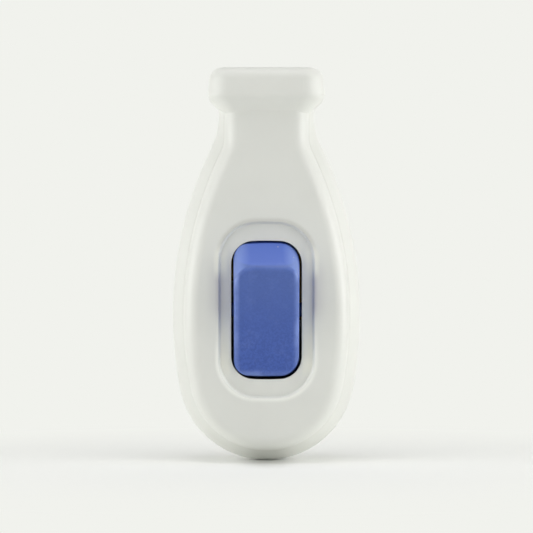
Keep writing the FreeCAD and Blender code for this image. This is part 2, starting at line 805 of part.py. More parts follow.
def cord_grip():
    """Arched bar that presses the cord into the rear shell's saddle."""
    span = (grip_height - grip_half_length, grip_height + grip_half_length)
    ear_top = grip_seat - grip_ear_thickness
    bar = box((-grip_half_width, grip_half_width), (ear_top, grip_seat), span)
    arch = rod_z(0, 0, grip_arch_radius + grip_arch_thickness, span[0], span[1])
    reach = 2 * grip_half_width
    arch = arch.common(box((-reach, reach), (-reach, grip_seat), span))
    bar = bar.fuse(arch).cut(rod_z(0, 0, grip_arch_radius, span[0], span[1]))
    for hand in (1, -1):
        bar = bar.cut(rod_y(hand * grip_screw_offset, grip_height, grip_screw_radius + running_clearance,
                            ear_top, grip_seat))
    return bar.removeSplitter()


def cord_grip_screws():
    """Two screws of the cord grip."""
    seat = grip_seat - grip_ear_thickness
    return Part.makeCompound([
        slotted_screw(hand * grip_screw_offset, grip_height, seat, seat + grip_screw_length,
                      grip_screw_radius, grip_screw_head_radius, grip_screw_head_height)
        for hand in (1, -1)])


def housing_screws():
    """Two long screws that hold the shells together."""
    tip = housing_screw_seat - housing_screw_length
    return Part.makeCompound([
        slotted_screw(0, height, housing_screw_seat, tip, housing_screw_radius,
                      housing_screw_head_radius, housing_screw_head_height)
        for height in screw_heights])


nodes = {
    "front_shell": front_shell(),
    "rear_shell": rear_shell(),
    "rocker": rocker(),
    "plunger": plunger(),
    "plunger_spring": plunger_spring(),
    "contact_lever": contact_lever(),
    "lever_contact": lever_contact(),
    "common_terminal": common_terminal(),
    "fixed_terminal": fixed_terminal(),
    "fixed_contact": fixed_contact(),
    "line_wire_clamp": wire_clamp(1),
    "load_wire_clamp": wire_clamp(-1),
    "terminal_screws": terminal_screws(),
    "cord_grip": cord_grip(),
    "cord_grip_screws": cord_grip_screws(),
    "housing_screws": housing_screws(),
}

os.makedirs("parts", exist_ok=True)
for name, shape in nodes.items():
    shape.exportStep("parts/" + name + ".step")
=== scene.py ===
"""Looks of the pendant cord switch: finishes, screw threads, a spring and a stage."""
import json
import math
from typing import NamedTuple

import bpy
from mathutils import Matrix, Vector


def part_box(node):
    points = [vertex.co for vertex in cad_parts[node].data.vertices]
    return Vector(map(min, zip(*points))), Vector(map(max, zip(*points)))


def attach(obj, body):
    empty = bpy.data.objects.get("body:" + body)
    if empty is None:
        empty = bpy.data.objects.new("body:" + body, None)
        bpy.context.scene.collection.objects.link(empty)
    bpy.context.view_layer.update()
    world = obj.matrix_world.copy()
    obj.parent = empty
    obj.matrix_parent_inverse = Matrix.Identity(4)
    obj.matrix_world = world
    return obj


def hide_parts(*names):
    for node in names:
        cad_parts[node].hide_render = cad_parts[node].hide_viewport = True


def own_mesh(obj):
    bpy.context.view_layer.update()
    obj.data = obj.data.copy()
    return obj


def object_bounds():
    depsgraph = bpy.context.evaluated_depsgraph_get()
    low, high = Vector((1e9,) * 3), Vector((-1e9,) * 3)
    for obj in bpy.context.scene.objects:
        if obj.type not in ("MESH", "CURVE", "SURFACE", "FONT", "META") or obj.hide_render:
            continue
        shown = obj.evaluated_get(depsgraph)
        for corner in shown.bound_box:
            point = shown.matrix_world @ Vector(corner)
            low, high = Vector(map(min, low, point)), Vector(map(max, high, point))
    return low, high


bl_info = {
    "name": "Pendant cord switch",
    "version": (1, 0, 0),
    "blender": (4, 5, 0),
    "location": "View3D > Sidebar > Cord switch",
    "description": "Finishes, screw threads, a spring and a studio stage for a pear-shaped cord switch",
    "category": "Object",
}

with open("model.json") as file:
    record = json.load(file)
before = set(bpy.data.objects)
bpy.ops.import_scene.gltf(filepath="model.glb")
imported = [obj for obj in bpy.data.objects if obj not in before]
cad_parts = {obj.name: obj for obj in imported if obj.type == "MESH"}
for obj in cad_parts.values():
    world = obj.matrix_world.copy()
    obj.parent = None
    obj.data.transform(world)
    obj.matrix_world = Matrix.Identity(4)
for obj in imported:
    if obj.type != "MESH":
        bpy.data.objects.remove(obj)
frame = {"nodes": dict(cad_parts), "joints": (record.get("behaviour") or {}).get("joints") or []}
cad_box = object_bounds()
MM = 0.001
JOINTS = {joint["name"]: joint for joint in frame["joints"]}
PLUNGER_SLIDE = JOINTS["plunger_slide"]
ROCKER_PIVOT = Vector(JOINTS["rocker_tilt"]["pos_m"])
PIVOT_Y = ROCKER_PIVOT.y / MM
PIVOT_Z = ROCKER_PIVOT.z / MM
REST_TILT = math.radians(16)

# Sizes of the marks are in millimetres. A step runs from where a mark is gone to where it is full.
# A band is the middle of a mark, how far off it is gone, and how near it is full.

# Rounded panels of the front shell: half width, half length and corner radius
RECESS = (8.4, 15.45, 6.6)
OPENING = (6.2, 12.2, 3.92)
# Depth at which the front's marks start, so that the rest of the shells has none
FRONT_STEP = (-4.6, -5.2)
# Dust: across the shells' joint, up the joint, in the foot of the recess's wall, and on the opening's lip
SEAM_BAND = (0.0, 0.55, 0.05)
SEAM_HEIGHT_STEP = (-60.0, -30.0)
RIM_BAND = (-0.62, 0.5, 0.0)
LIP_STEP = (1.1, 0.0)
# Painted shadow beside the rocker's raised end: heights over the pivot, out from the recess, less of it on
# the recess floor and least on the right, and a line on the edge
PAINTED_SHADOW_HEIGHT_BAND = (3.2, 6.0, 2.0)
PAINTED_SHADOW_STEP = (2.6, -0.2)
SHADOW_CUT_STEP = (-0.2, -1.2)
SHADOW_CUT_SIDE_STEP = (-1.0, 1.0)
PAINTED_SHADOW_LINE_BAND = (0.05, 0.6, 0.0)
# Painted shade along the recess's upper edge, and a painted highlight on its lower edge
UPPER_SHADE_BAND = (0.1, 0.8, 0.0)
UPPER_SHADE_HEIGHT_STEP = (8.0, 13.0)
LOWER_HIGHLIGHT_BAND = (0.15, 0.7, 0.0)
LOWER_HIGHLIGHT_HEIGHT_STEP = (-2.0, -8.0)
# Painted light on the recess floor beside the rocker, low and high: across, over the pivot, and out of the
# recess
LOW_LIGHT_SIDE_STEP = (5.8, 6.8)
LOW_LIGHT_HEIGHT_BAND = (-7.0, 6.0, 2.0)
LOW_LIGHT_STEP = (0.4, -0.4)
HIGH_LIGHT_SIDE_STEP = (6.4, 7.4)
HIGH_LIGHT_HEIGHT_BAND = (8.4, 3.6, 0.8)
HIGH_LIGHT_STEP = (1.1, 0.3)

# The rocker's marks lie in its own tilted frame: across it, along it from the pivot, and rise off the pivot
# Painted reflection: the rocker's upper part is greyed as by a sheen, and it turns a deeper blue towards its
# lower end
SHEEN_FADE_STEP = (10.0, -10.0)
ETCH_STEP = (4.0, -6.0)
SIDE_EDGE_STEP = (4.45, 5.2)
LOW_EDGE_STEP = (-8.5, -9.8)
HIGH_EDGE_STEP = (8.9, 9.85)
EDGE_RISE_STEP = (5.4, 6.6)
CORNER_SIDE_STEP = (2.6, 4.8)
CORNER_STEP = (5.5, 8.5)
CORNER_RISE_STEP = (7.3, 6.6)
FACE_RISE_STEP = (6.9, 7.3)
END_WALL_STEP = (9.9, 10.2)
# Pale specks on the rocker's upper end: place across, height over the pivot and radius
SPECKS = ((2.0, 1.7, 0.15), (4.74, 3.2, 0.12))
SPECK_CORE = 0.6

# The plunger's spring, in millimetres: its two ends from the pivot along the plunger, its coil and its play
SPRING_SPAN = (-3.5, 0.8)
SPRING_RADIUS = 0.95
SPRING_WIRE = 0.2
SPRING_TURNS = 5
SPRING_GAP = 0.03
SPRING_SIDES = 10
# Wound wire: points in a turn, sides of a thread's ridge, share of it sunk in the shank, and bare tip
TURN_POINTS = 20
RIDGE_SIDES = 5
RIDGE_SINK = 0.35
BARE_TIP = 0.25

# The sweep of the stage, in metres
FLOOR_FRONT = -0.9
FLOOR_BACK = 0.25
BEND_RADIUS = 0.3
BEND_STEPS = 12
WALL_TOP = 1.2
HALF_WIDTH = 1.4
# Painted contact shadow: a spot under the foot, stretched forward, where the floor has no glow: its middle in
# y, its stretch along y, and its edge
SPOT_Y = -1.0
SPOT_SQUEEZE = 0.15
SPOT_STEP = (1.0, 7.0)
# Millimetres from the middle over which the floor turns into the backdrop
BACKDROP_STEP = (15.0, 100.0)
SENSOR_WIDTH = 36.0


class ScrewSet(NamedTuple):
    """Two equal screws that get threads, in millimetres; way is 1 with tips at the back, -1 in front."""
    piece: str
    node: str
    head_radius: float
    shank_radius: float
    thread_length: float
    way: int


class Lamp(NamedTuple):
    """A square soft lamp: its place and width in metres, and the stage value that holds its power."""
    name: str
    place: tuple
    width: float
    power: str


SCREW_SETS = (
    ScrewSet("housing_screw_threads", "housing_screws",
             head_radius=2.5, shank_radius=1.35, thread_length=5.2, way=-1),
    ScrewSet("grip_screw_threads", "cord_grip_screws",
             head_radius=1.4, shank_radius=0.85, thread_length=3.3, way=1),
    ScrewSet("clamp_screw_threads", "terminal_screws",
             head_radius=1.6, shank_radius=0.95, thread_length=1.2, way=1),
)
LAMPS = (
    Lamp("top_lamp", place=(0, -0.1, 0.42), width=0.4, power="top_power"),
    Lamp("left_key_lamp", place=(-0.33, -0.24, 0.12), width=0.25, power="key_power"),
    Lamp("right_key_lamp", place=(0.33, -0.24, 0.12), width=0.25, power="key_power"),
    Lamp("left_lamp", place=(-0.39, -0.04, -0.045), width=0.25, power="left_power"),
    Lamp("right_lamp", place=(0.39, -0.04, -0.045), width=0.25, power="right_power"),
)


def linear(red, green, blue):
    """Linear colour of an 8-bit screen colour."""
    def channel(value):
        share = value / 255
        return share / 12.92 if share <= 0.04045 else ((share + 0.055) / 1.055) ** 2.4
    return channel(red), channel(green), channel(blue)


def shade(colour, factor=1):
    """Four-part colour, darkened or lightened by a factor."""
    return tuple(min(1, part * factor) for part in colour[:3]) + (1,)


class Feed:
    """A node's output that takes part in Python arithmetic."""

    def __init__(self, nodes, socket):
        self.nodes = nodes
        self.socket = socket

    def maths(self, operation, *values):
        return self.nodes.node("ShaderNodeMath", {"operation": operation}, dict(enumerate(values)))

    def __add__(self, other):
        return self.maths("ADD", self, other)

    def __radd__(self, other):
        return self.maths("ADD", other, self)

    def __sub__(self, other):
        return self.maths("SUBTRACT", self, other)

    def __rsub__(self, other):
        return self.maths("SUBTRACT", other, self)

    def __mul__(self, other):
        return self.maths("MULTIPLY", self, other)

    def __rmul__(self, other):
        return self.maths("MULTIPLY", other, self)

    def __abs__(self):
        return self.maths("ABSOLUTE", self)

    def above(self, other):
        return self.maths("MAXIMUM", self, other)

    def below(self, other):
        return self.maths("MINIMUM", self, other)

    def root(self):
        return self.maths("SQRT", self)

    def swing(self, amount):
        """A noise's swing to both sides of its middle."""
        return (self - 0.5) * amount


class Nodes:
    """A node tree under construction."""

    def __init__(self, tree):
        self.tree = tree

    def node(self, kind, settings=None, values=None, out=0):
        """Add a node, set it up, feed its sockets and hand back one output."""
        made = self.tree.nodes.new(kind)
        for name, value in (settings or {}).items():
            setattr(made, name, value)
        for key, value in (values or {}).items():
            self.feed(made.inputs[key], value)
        return Feed(self, made.outputs[out]) if made.outputs else None

    def feed(self, socket, value):
        """Link or set one socket."""
        if isinstance(value, Feed):
            self.tree.links.new(value.socket, socket)
        else:
            socket.default_value = value

    def sight(self):
        """1 for rays that the camera sends straight, by a mirror or through glass, or else 0."""
        rays = self.node("ShaderNodeLightPath", out="Is Camera Ray")
        outputs = rays.socket.node.outputs
        for kind in ("Is Glossy Ray", "Is Transmission Ray"):
            rays = rays.above(Feed(self, outputs[kind]))
        return rays


class Finish(Nodes):
    """A material under construction, worked out in millimetres of the object's own frame."""

    def __init__(self, name):
        self.material = bpy.data.materials.new(name)
        self.material.use_nodes = True
        super().__init__(self.material.node_tree)
        self.shader = self.tree.nodes["Principled BSDF"]
        metres = self.node("ShaderNodeTexCoord", out="Object")
        self.place = self.node("ShaderNodeVectorMath", {"operation": "SCALE"}, {0: metres, "Scale": 1 / MM})

    def surface(self, **values):
        """Feed the shader's sockets, named with underscores for spaces."""
        for name, value in values.items():
            self.feed(self.shader.inputs[name.replace("_", " ")], value)

    def axes(self):
        """The three coordinates in millimetres."""
        split = self.node("ShaderNodeSeparateXYZ", values={0: self.place})
        outputs = split.socket.node.outputs
        return [Feed(self, outputs[axis]) for axis in ("X", "Y", "Z")]

    def cloud(self, size, detail=2.0, roughness=0.5, stretch=(1, 1, 1), shift=(0, 0, 0)):
        """Noise from 0 to 1 with features of about size millimetres, pulled out along an axis by stretch."""
        squeeze = [1 / (size * factor) for factor in stretch]
        spot = self.node("ShaderNodeMapping", values={
            "Vector": self.place, "Scale": squeeze, "Location": shift})
        return self.node("ShaderNodeTexNoise", values={
            "Vector": spot, "Scale": 1.0, "Detail": detail, "Roughness": roughness})

    def ramp(self, value, low, high):
        """Smooth step of a value from 0 at low to 1 at high."""
        return self.node("ShaderNodeMapRange", {"interpolation_type": "SMOOTHSTEP"}, {
            "Value": value, "From Min": low, "From Max": high, "To Min": 0.0, "To Max": 1.0})

    def near(self, value, middle, gone, full):
        """Smooth step of a value's distance from a middle one, from 0 at gone to 1 at full."""
        return self.ramp(abs(value - middle), gone, full)

    def blend(self, factor, first, second):
        """Colour between two colours."""
        return self.node("ShaderNodeMix", {"data_type": "RGBA"}, {0: factor, 6: first, 7: second}, out=2)

    def mottle(self, noise, low, high, dark, pale):
        """Colour that goes from dark to pale as a noise goes from low to high."""
        return self.blend(self.ramp(noise, low, high), dark, pale)

    def bump(self, height, depth, below=None):
        """Normal of a surface whose height value spans depth millimetres."""
        values = {"Height": height, "Distance": depth * MM, "Strength": 1.0}
        if below is not None:
            values["Normal"] = below
        return self.node("ShaderNodeBump", values=values)

    def panel_distance(self, half_width, half_length, corner):
        """Millimetres outside (above 0) or inside (below 0) a rounded panel round the rocker's pivot."""
        x, _, z = self.axes()
        across = abs(x) - (half_width - corner)
        along = abs(z - PIVOT_Z) - (half_length - corner)
        out_x = across.above(0.0)
        out_z = along.above(0.0)
        return (out_x * out_x + out_z * out_z).root() + across.above(along).below(0.0) - corner


def paint(material, *names):
    """Give CAD nodes one material."""
    for name in names:
        mesh = frame["nodes"][name].data
        mesh.materials.clear()
        mesh.materials.append(material)


def white_moulding(looks):
    """Off-white satin moulding with spark grain, flow clouds, dust and scuffs, and painted light round the
    recess: a painted shadow beside the rocker, painted shade along its upper edge, painted light on its floor
    and a painted highlight on its lower edge.
    """
    finish = Finish("white_moulding")
    tone = looks.white_colour
    x, y, z = finish.axes()
    over = z - PIVOT_Z
    front = finish.ramp(y, *FRONT_STEP)
    recess = finish.panel_distance(*RECESS)
    mouth = finish.panel_distance(*OPENING)
    flow = finish.cloud(size=11.0, detail=3.0)
    fine = finish.cloud(size=looks.white_grain_size / MM, roughness=0.6)
    peel = finish.cloud(size=2.4, detail=1.0)
    body = finish.mottle(flow, 0.3, 0.7, dark=shade(tone, 0.985), pale=shade(tone, 1.012))

    dust_noise = finish.cloud(size=3.2, detail=4.0, roughness=0.65, shift=(7, 3, 1))
    dust_patch = finish.ramp(dust_noise, 0.42, 0.72)
    seam = finish.near(y, *SEAM_BAND) * (0.35 + dust_patch * 0.5) * finish.ramp(z, *SEAM_HEIGHT_STEP)
    rim = finish.near(recess, *RIM_BAND) * front
    lip = finish.ramp(mouth, *LIP_STEP) * front
    dust = (seam * 0.5 + rim * 0.06 + lip * dust_patch * 0.15).below(1.0)
    body = finish.blend(dust * 0.5, body, shade(looks.dust_and_shade_colour))

    # Painted shadow: the rocker's raised end shades the recess and the face beside it
    shadow_cut = finish.ramp(recess, *SHADOW_CUT_STEP) * (0.08 + finish.ramp(x, *SHADOW_CUT_SIDE_STEP) * 0.12)
    painted_shadow = finish.ramp(recess, *PAINTED_SHADOW_STEP) * (0.22 - shadow_cut)
    painted_shadow = painted_shadow + finish.near(recess, *PAINTED_SHADOW_LINE_BAND) * 0.16
    beside_rocker = finish.near(over, *PAINTED_SHADOW_HEIGHT_BAND) * front
    body = finish.blend(painted_shadow * beside_rocker, body, shade(looks.painted_shadow_colour))

    # Painted shade: a darker line along the recess's upper edge, in the dust colour
    upper_edge_shade = finish.near(recess, *UPPER_SHADE_BAND) * finish.ramp(over, *UPPER_SHADE_HEIGHT_STEP) * front
    body = finish.blend(upper_edge_shade * 0.4, body, shade(looks.dust_and_shade_colour))
    # Painted light: the recess's floor and edge beside the rocker, low and high, are made paler and warmer to
    # lift the shade that falls there
    low_painted_light = finish.ramp(abs(x), *LOW_LIGHT_SIDE_STEP) * finish.near(over, *LOW_LIGHT_HEIGHT_BAND)
    low_painted_light = low_painted_light * finish.ramp(recess, *LOW_LIGHT_STEP)
    high_painted_light = finish.ramp(abs(x), *HIGH_LIGHT_SIDE_STEP) * finish.near(over, *HIGH_LIGHT_HEIGHT_BAND)
    high_painted_light = high_painted_light * finish.ramp(recess, *HIGH_LIGHT_STEP)
    body = finish.blend(low_painted_light.above(high_painted_light * 0.8) * front, body, shade(looks.painted_light_colour))
    # Painted highlight: a paler line on the recess's lower edge, whose rounding faces the light from above
    lower_edge_highlight = finish.near(recess, *LOWER_HIGHLIGHT_BAND) * finish.ramp(over, *LOWER_HIGHLIGHT_HEIGHT_STEP) * front
    body = finish.blend(lower_edge_highlight, body, shade(tone, 1.18))

    streaks = finish.cloud(size=0.5, detail=3.0, roughness=0.6, stretch=(1, 1, 9), shift=(2, 5, 3))
    scuffed = finish.cloud(size=6.0, detail=1.0, shift=(4, 1, 8))
    scuff = finish.ramp(streaks, 0.66, 0.74) * finish.ramp(scuffed, 0.5, 0.66)
    body = finish.blend(scuff * 0.22, body, shade(tone, 0.9))
    rough = 0.41 + fine.swing(0.12) + flow.swing(0.08) + scuff * 0.14 + dust * 0.2
    relief = finish.bump(peel, depth=0.012)
    relief = finish.bump(fine, depth=looks.white_grain_depth / MM, below=relief)
    finish.surface(Base_Color=body, Roughness=rough, Normal=relief, IOR=1.5, Specular_IOR_Level=0.45)
    return finish.material


def blue_moulding(looks):
    """Blue matt moulding with an etched grain, a rubbed face, a few pale specks, edges partly worn and partly
    painted highlight, and painted light: a painted reflection that greys the upper part, painted highlight on
    the upper corners and a lit copy of the colour on the raised end wall.
    """
    finish = Finish("blue_moulding")
    tone = looks.blue_colour
    x, y, z = finish.axes()
    lean, level = math.sin(REST_TILT), math.cos(REST_TILT)
    behind = y - PIVOT_Y
    over = z - PIVOT_Z
    rise = behind * -level - over * lean
    along = over * level - behind * lean
    grain = finish.cloud(size=looks.blue_grain_size / MM, roughness=0.65)
    pits = finish.cloud(size=0.42, roughness=0.6, shift=(3, 9, 2))
    clouds = finish.cloud(size=4.5, detail=3.0, shift=(1, 4, 6))
    body = finish.mottle(clouds, 0.3, 0.72, dark=shade(tone, 0.97), pale=shade(tone, 1.04))
    # Painted reflection: deeper blue towards the lower end, greyer upper part
    body = finish.blend(finish.ramp(along, *SHEEN_FADE_STEP), body, shade(looks.blue_no_sheen_colour))
    etch = finish.mottle(pits, 0.4, 0.6, dark=shade(tone, 0.72), pale=shade(tone, 1.26))
    body = finish.blend(0.1 + finish.ramp(along, *ETCH_STEP) * 0.24, body, etch)
    body = finish.blend(finish.ramp(grain, 0.35, 0.75) * 0.24, body, shade(tone, 1.3))

    # The rocker's edges are partly wear and partly painted highlight where their roundings catch the light;
    # the upper corners are painted highlight
    end_edges = finish.ramp(along, *LOW_EDGE_STEP) + finish.ramp(along, *HIGH_EDGE_STEP) * 0.3
    edge = finish.ramp(abs(x), *SIDE_EDGE_STEP).above(end_edges) * finish.ramp(rise, *EDGE_RISE_STEP)
    corner = finish.ramp(abs(x), *CORNER_SIDE_STEP) * finish.ramp(along, *CORNER_STEP)
    corner = corner * finish.ramp(rise, *CORNER_RISE_STEP)
    wear_and_highlight = (edge * (0.35 + finish.ramp(clouds, 0.4, 0.65) * 0.65)).above(corner)
    rub_noise = finish.cloud(size=2.2, detail=4.0, roughness=0.7, shift=(5, 2, 1))
    rub = finish.ramp(rub_noise, 0.5, 0.75) * finish.ramp(rise, *FACE_RISE_STEP)
    on_end = finish.ramp(along, *END_WALL_STEP)
    # Painted light: the raised end wall faces up towards the lamps and gets a paler copy of the rocker's blue
    body = finish.blend(on_end * 0.8, body, shade(looks.blue_lit_end_colour))
    body = finish.blend((wear_and_highlight * 0.8 + rub * 0.1).below(1.0), body, shade(looks.blue_worn_and_highlight_colour))
    for across, height, radius in SPECKS:
        off_x, off_rise = x - across, rise - height
        distance = (off_x * off_x + off_rise * off_rise).root()
        speck = finish.ramp(distance, radius, radius * SPECK_CORE) * on_end
        body = finish.blend(speck * 0.8, body, shade(looks.dust_and_shade_colour, 1.3))

    rough = 0.5 + grain.swing(0.16) - wear_and_highlight * 0.1 - rub * 0.06 + clouds.swing(0.06)
    relief = finish.bump(pits, depth=0.012)
    relief = finish.bump(grain, depth=looks.blue_grain_depth / MM, below=relief)
    finish.surface(Base_Color=body, Roughness=rough, Normal=relief, IOR=1.5, Specular_IOR_Level=0.5)
    return finish.material


def nylon(looks):
    """Milky moulded nylon with faint flow marks."""
    finish = Finish("nylon")
    tone = looks.nylon_colour
    flow = finish.cloud(size=2.5, detail=3.0, roughness=0.6, stretch=(1, 3, 1))
    fine = finish.cloud(size=0.12)
    body = finish.mottle(flow, 0.3, 0.7, dark=shade(tone, 0.93), pale=shade(tone, 1.05))
    rough = 0.42 + flow.swing(0.15) + fine.swing(0.1)
    finish.surface(Base_Color=body, Roughness=rough, Normal=finish.bump(fine, depth=0.004), IOR=1.53)
    return finish.material


def sheet_metal(name, colour, stain, grain, stretch, rough_level):
    """Metal with drawn or rolled streaks and mottled tarnish."""
    finish = Finish(name)
    streaks = finish.cloud(size=grain, detail=3.0, roughness=0.6, stretch=stretch)
    tarnish = finish.ramp(finish.cloud(size=1.8, detail=4.0, roughness=0.6, shift=(2, 2, 5)), 0.5, 0.8)
    body = finish.mottle(streaks, 0.3, 0.7, dark=shade(colour, 0.9), pale=shade(colour, 1.08))
    body = finish.blend(tarnish * 0.5, body, shade(stain))
    rough = rough_level + streaks.swing(0.2) + tarnish * 0.18
    finish.surface(Base_Color=body, Roughness=rough, Metallic=1.0, Normal=finish.bump(streaks, depth=0.004))
    return finish.material


def coil_tree():
    """Geometry nodes that wind a round wire in turns from every point of a mesh."""
    tree = bpy.data.node_groups.get("coil_turns")
    if tree is not None:
        return tree
    tree = bpy.data.node_groups.new("coil_turns", "GeometryNodeTree")
    for name, kind in (("Starts", "Geometry"), ("Radius", "Float"), ("Pitch", "Float"), ("Turns", "Float"),
                       ("Wire", "Float"), ("Sides", "Int"), ("Lean", "Vector"), ("Finish", "Material")):
        tree.interface.new_socket(name, in_out="INPUT", socket_type="NodeSocket" + kind)
    tree.interface.new_socket("Coils", in_out="OUTPUT", socket_type="NodeSocketGeometry")
    nodes = Nodes(tree)
    group_input = nodes.node("NodeGroupInput").socket.node
    given = {socket.name: Feed(nodes, socket) for socket in group_input.outputs if socket.name}
    spiral = nodes.node("GeometryNodeCurveSpiral", values={
        "Resolution": TURN_POINTS, "Rotations": given["Turns"], "Height": given["Pitch"] * given["Turns"],
        "Start Radius": given["Radius"], "End Radius": given["Radius"]}, out="Curve")
    section = nodes.node("GeometryNodeCurvePrimitiveCircle", values={
        "Resolution": given["Sides"], "Radius": given["Wire"]}, out="Curve")
    swept = nodes.node("GeometryNodeCurveToMesh", values={
        "Curve": spiral, "Profile Curve": section, "Fill Caps": True}, out="Mesh")
    turned = nodes.node("FunctionNodeEulerToRotation", values={0: given["Lean"]})
    copies = nodes.node("GeometryNodeInstanceOnPoints", values={
        "Points": given["Starts"], "Instance": swept, "Rotation": turned}, out="Instances")
    real = nodes.node("GeometryNodeRealizeInstances", values={"Geometry": copies}, out="Geometry")
    coated = nodes.node("GeometryNodeSetMaterial", values={
        "Geometry": real, "Material": given["Finish"]}, out="Geometry")
    nodes.node("NodeGroupOutput", values={0: coated})
    return tree


def wind(name, starts, body, values):
    """One mesh of wound wire that starts at the given points and rides a body."""
    tree = coil_tree()
    points = bpy.data.meshes.new(name + "_starts")
    points.from_pydata(starts, [], [])
    piece = bpy.data.objects.new(name, points)
    bpy.context.scene.collection.objects.link(piece)
    winder = piece.modifiers.new("winder", "NODES")
    winder.node_group = tree
    for socket in tree.interface.items_tree:
        if socket.in_out == "INPUT" and socket.name in values:
            winder[socket.identifier] = values[socket.name]
    bpy.context.view_layer.update()
    solved = piece.evaluated_get(bpy.context.evaluated_depsgraph_get())
    mesh = bpy.data.meshes.new_from_object(solved)
    if not mesh.polygons:
        raise RuntimeError(name + " came out empty")
    piece.modifiers.remove(winder)
    piece.data = mesh
    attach(piece, body)
    return piece


def colour_value(label, about, *screen_colour):
    """A colour of the sidebar, given as an 8-bit screen colour."""
    return bpy.props.FloatVectorProperty(
        name=label, description=about, subtype="COLOR", default=linear(*screen_colour), min=0, max=1)


def length_value(label, about, metres):
    """A length of the sidebar."""
    return bpy.props.FloatProperty(name=label, description=about, unit="LENGTH", default=metres)


def power_value(label, about, watts):
    """A lamp's power in the sidebar."""
    return bpy.props.FloatProperty(name=label, description=about, unit="POWER", default=watts, min=0)


def strength_value(label, about, strength):
    """A light's strength in the sidebar."""
    return bpy.props.FloatProperty(name=label, description=about, default=strength, min=0)


class SwitchLooks(bpy.types.PropertyGroup):
    """Colours and grain of the switch's finishes, and the size of its threads."""
    white_colour: colour_value("Shell colour", "Colour of the two moulded shells", 229, 230, 224)
    # Colour of the painted light on the recess's floor beside the rocker
    painted_light_colour: colour_value("Rubbed colour", "Colour of the recess's rubbed floor", 244, 244, 233)
    white_grain_size: length_value("Shell grain size", "Width of the shells' spark grain", 0.22 * MM)
    white_grain_depth: length_value("Shell grain depth", "Depth of the shells' spark grain", 0.006 * MM)
    blue_colour: colour_value("Rocker colour", "Colour of the rocker's moulding", 73, 99, 171)
    # Colour of the rocker's lower end, where the painted reflection fades out
    blue_no_sheen_colour: colour_value("Rocker deep colour", "Colour of the rocker's lower end", 43, 78, 168)
    # Painted light: the lit copy of the rocker's blue on its raised end wall
    blue_lit_end_colour: colour_value("Rocker end colour", "Colour of the rocker's raised end wall", 85, 116, 209)
    # Colour of the rocker's worn edges, also of their painted highlight
    blue_worn_and_highlight_colour: colour_value("Rocker wear colour", "Colour of the rocker's rubbed edges", 121, 145, 213)
    blue_grain_size: length_value("Rocker grain size", "Width of the rocker's etched grain", 0.2 * MM)
    blue_grain_depth: length_value("Rocker grain depth", "Depth of the rocker's etched grain", 0.012 * MM)
    # Also the colour of the painted shade along the recess's upper edge
    dust_and_shade_colour: colour_value("Dust colour", "Colour of dust at the joints and of specks", 176, 174, 164)
    # Colour of the painted shadow beside the rocker's raised end
    painted_shadow_colour: colour_value("Grime colour", "Colour of the grime beside the rocker", 150, 141, 157)
    nylon_colour: colour_value("Nylon colour", "Colour of the plunger and the cord grip", 222, 218, 205)
    brass_colour: colour_value("Brass colour", "Colour of the contact strips and clamps", 168, 138, 84)
    brass_stain: colour_value("Brass stain", "Colour of the brass's tarnish", 104, 80, 50)
    silver_colour: colour_value("Contact colour", "Colour of the contact rivets", 226, 224, 219)
    silver_stain: colour_value("Contact stain", "Colour of the rivets' tarnish", 140, 134, 124)
    steel_colour: colour_value("Steel colour", "Colour of the screws and the spring", 198, 199, 202)
    spring_stain: colour_value("Spring stain", "Colour of the spring's tarnish", 120, 118, 118)
    screw_stain: colour_value("Screw stain", "Colour of the screws' tarnish", 136, 132, 124)
    thread_pitch: length_value("Thread pitch", "Rise of a screw thread in one turn", 0.55 * MM)
    thread_ridge: length_value("Thread ridge", "Half the width of a thread's ridge", 0.16 * MM)


class SwitchStage(bpy.types.PropertyGroup):
    """Floor, lamps and camera of the stage."""
    floor_colour: colour_value("Floor colour", "Colour of the floor under the switch", 228, 229, 225)
    floor_glow: strength_value("Floor glow", "Light that comes through the floor from below", 0.2)
    backdrop_colour: colour_value("Backdrop colour", "Colour that is seen behind the switch", 241, 242, 237)
    ambient: strength_value("Ambient light", "Strength of the even light from all round", 0.06)
    top_power: power_value("Top lamp", "Power of the lamp overhead", 1.15)
    key_power: power_value("Key lamps", "Power of each of the two lamps in front", 0.405)
    left_power: power_value("Left lamp", "Power of the low lamp on the left", 0.92)
    right_power: power_value("Right lamp", "Power of the low lamp on the right", 1.12)
    camera_distance: length_value("Camera distance", "Camera to the shells' joint", 0.457)
    camera_height: length_value("Camera height", "Camera over the switch's lowest point", 34.53 * MM)
    camera_angle: bpy.props.FloatProperty(
        name="Camera angle", description="Width of the camera's view", subtype="ANGLE",
        default=math.radians(11.78))


class SWITCH_OT_mould_shells(bpy.types.Operator):
    """Finish the two shells as satin white mouldings"""
    bl_idname = "switch.mould_shells"
    bl_label = "Mould shells"

    def execute(self, context):
        paint(white_moulding(context.scene.switch_looks), "front_shell", "rear_shell")
        return {"FINISHED"}


class SWITCH_OT_mould_rocker(bpy.types.Operator):
    """Finish the rocker as a blue matt moulding"""
    bl_idname = "switch.mould_rocker"
    bl_label = "Mould rocker"

    def execute(self, context):
        paint(blue_moulding(context.scene.switch_looks), "rocker")
        return {"FINISHED"}


class SWITCH_OT_finish_contacts(bpy.types.Operator):
    """Finish the contact lever, terminal strips, clamps and rivets"""
    bl_idname = "switch.finish_contacts"
    bl_label = "Finish contacts"

    def execute(self, context):
        looks = context.scene.switch_looks
        brass = sheet_metal("brass_strip", looks.brass_colour, looks.brass_stain,
                            grain=0.16, stretch=(1, 1, 12), rough_level=0.42)
        paint(brass, "contact_lever", "common_terminal", "fixed_terminal",
              "line_wire_clamp", "load_wire_clamp")
        silver = sheet_metal("contact_silver", looks.silver_colour, looks.silver_stain,
                             grain=0.3, stretch=(1, 1, 1), rough_level=0.24)
        paint(silver, "lever_contact", "fixed_contact")
        return {"FINISHED"}


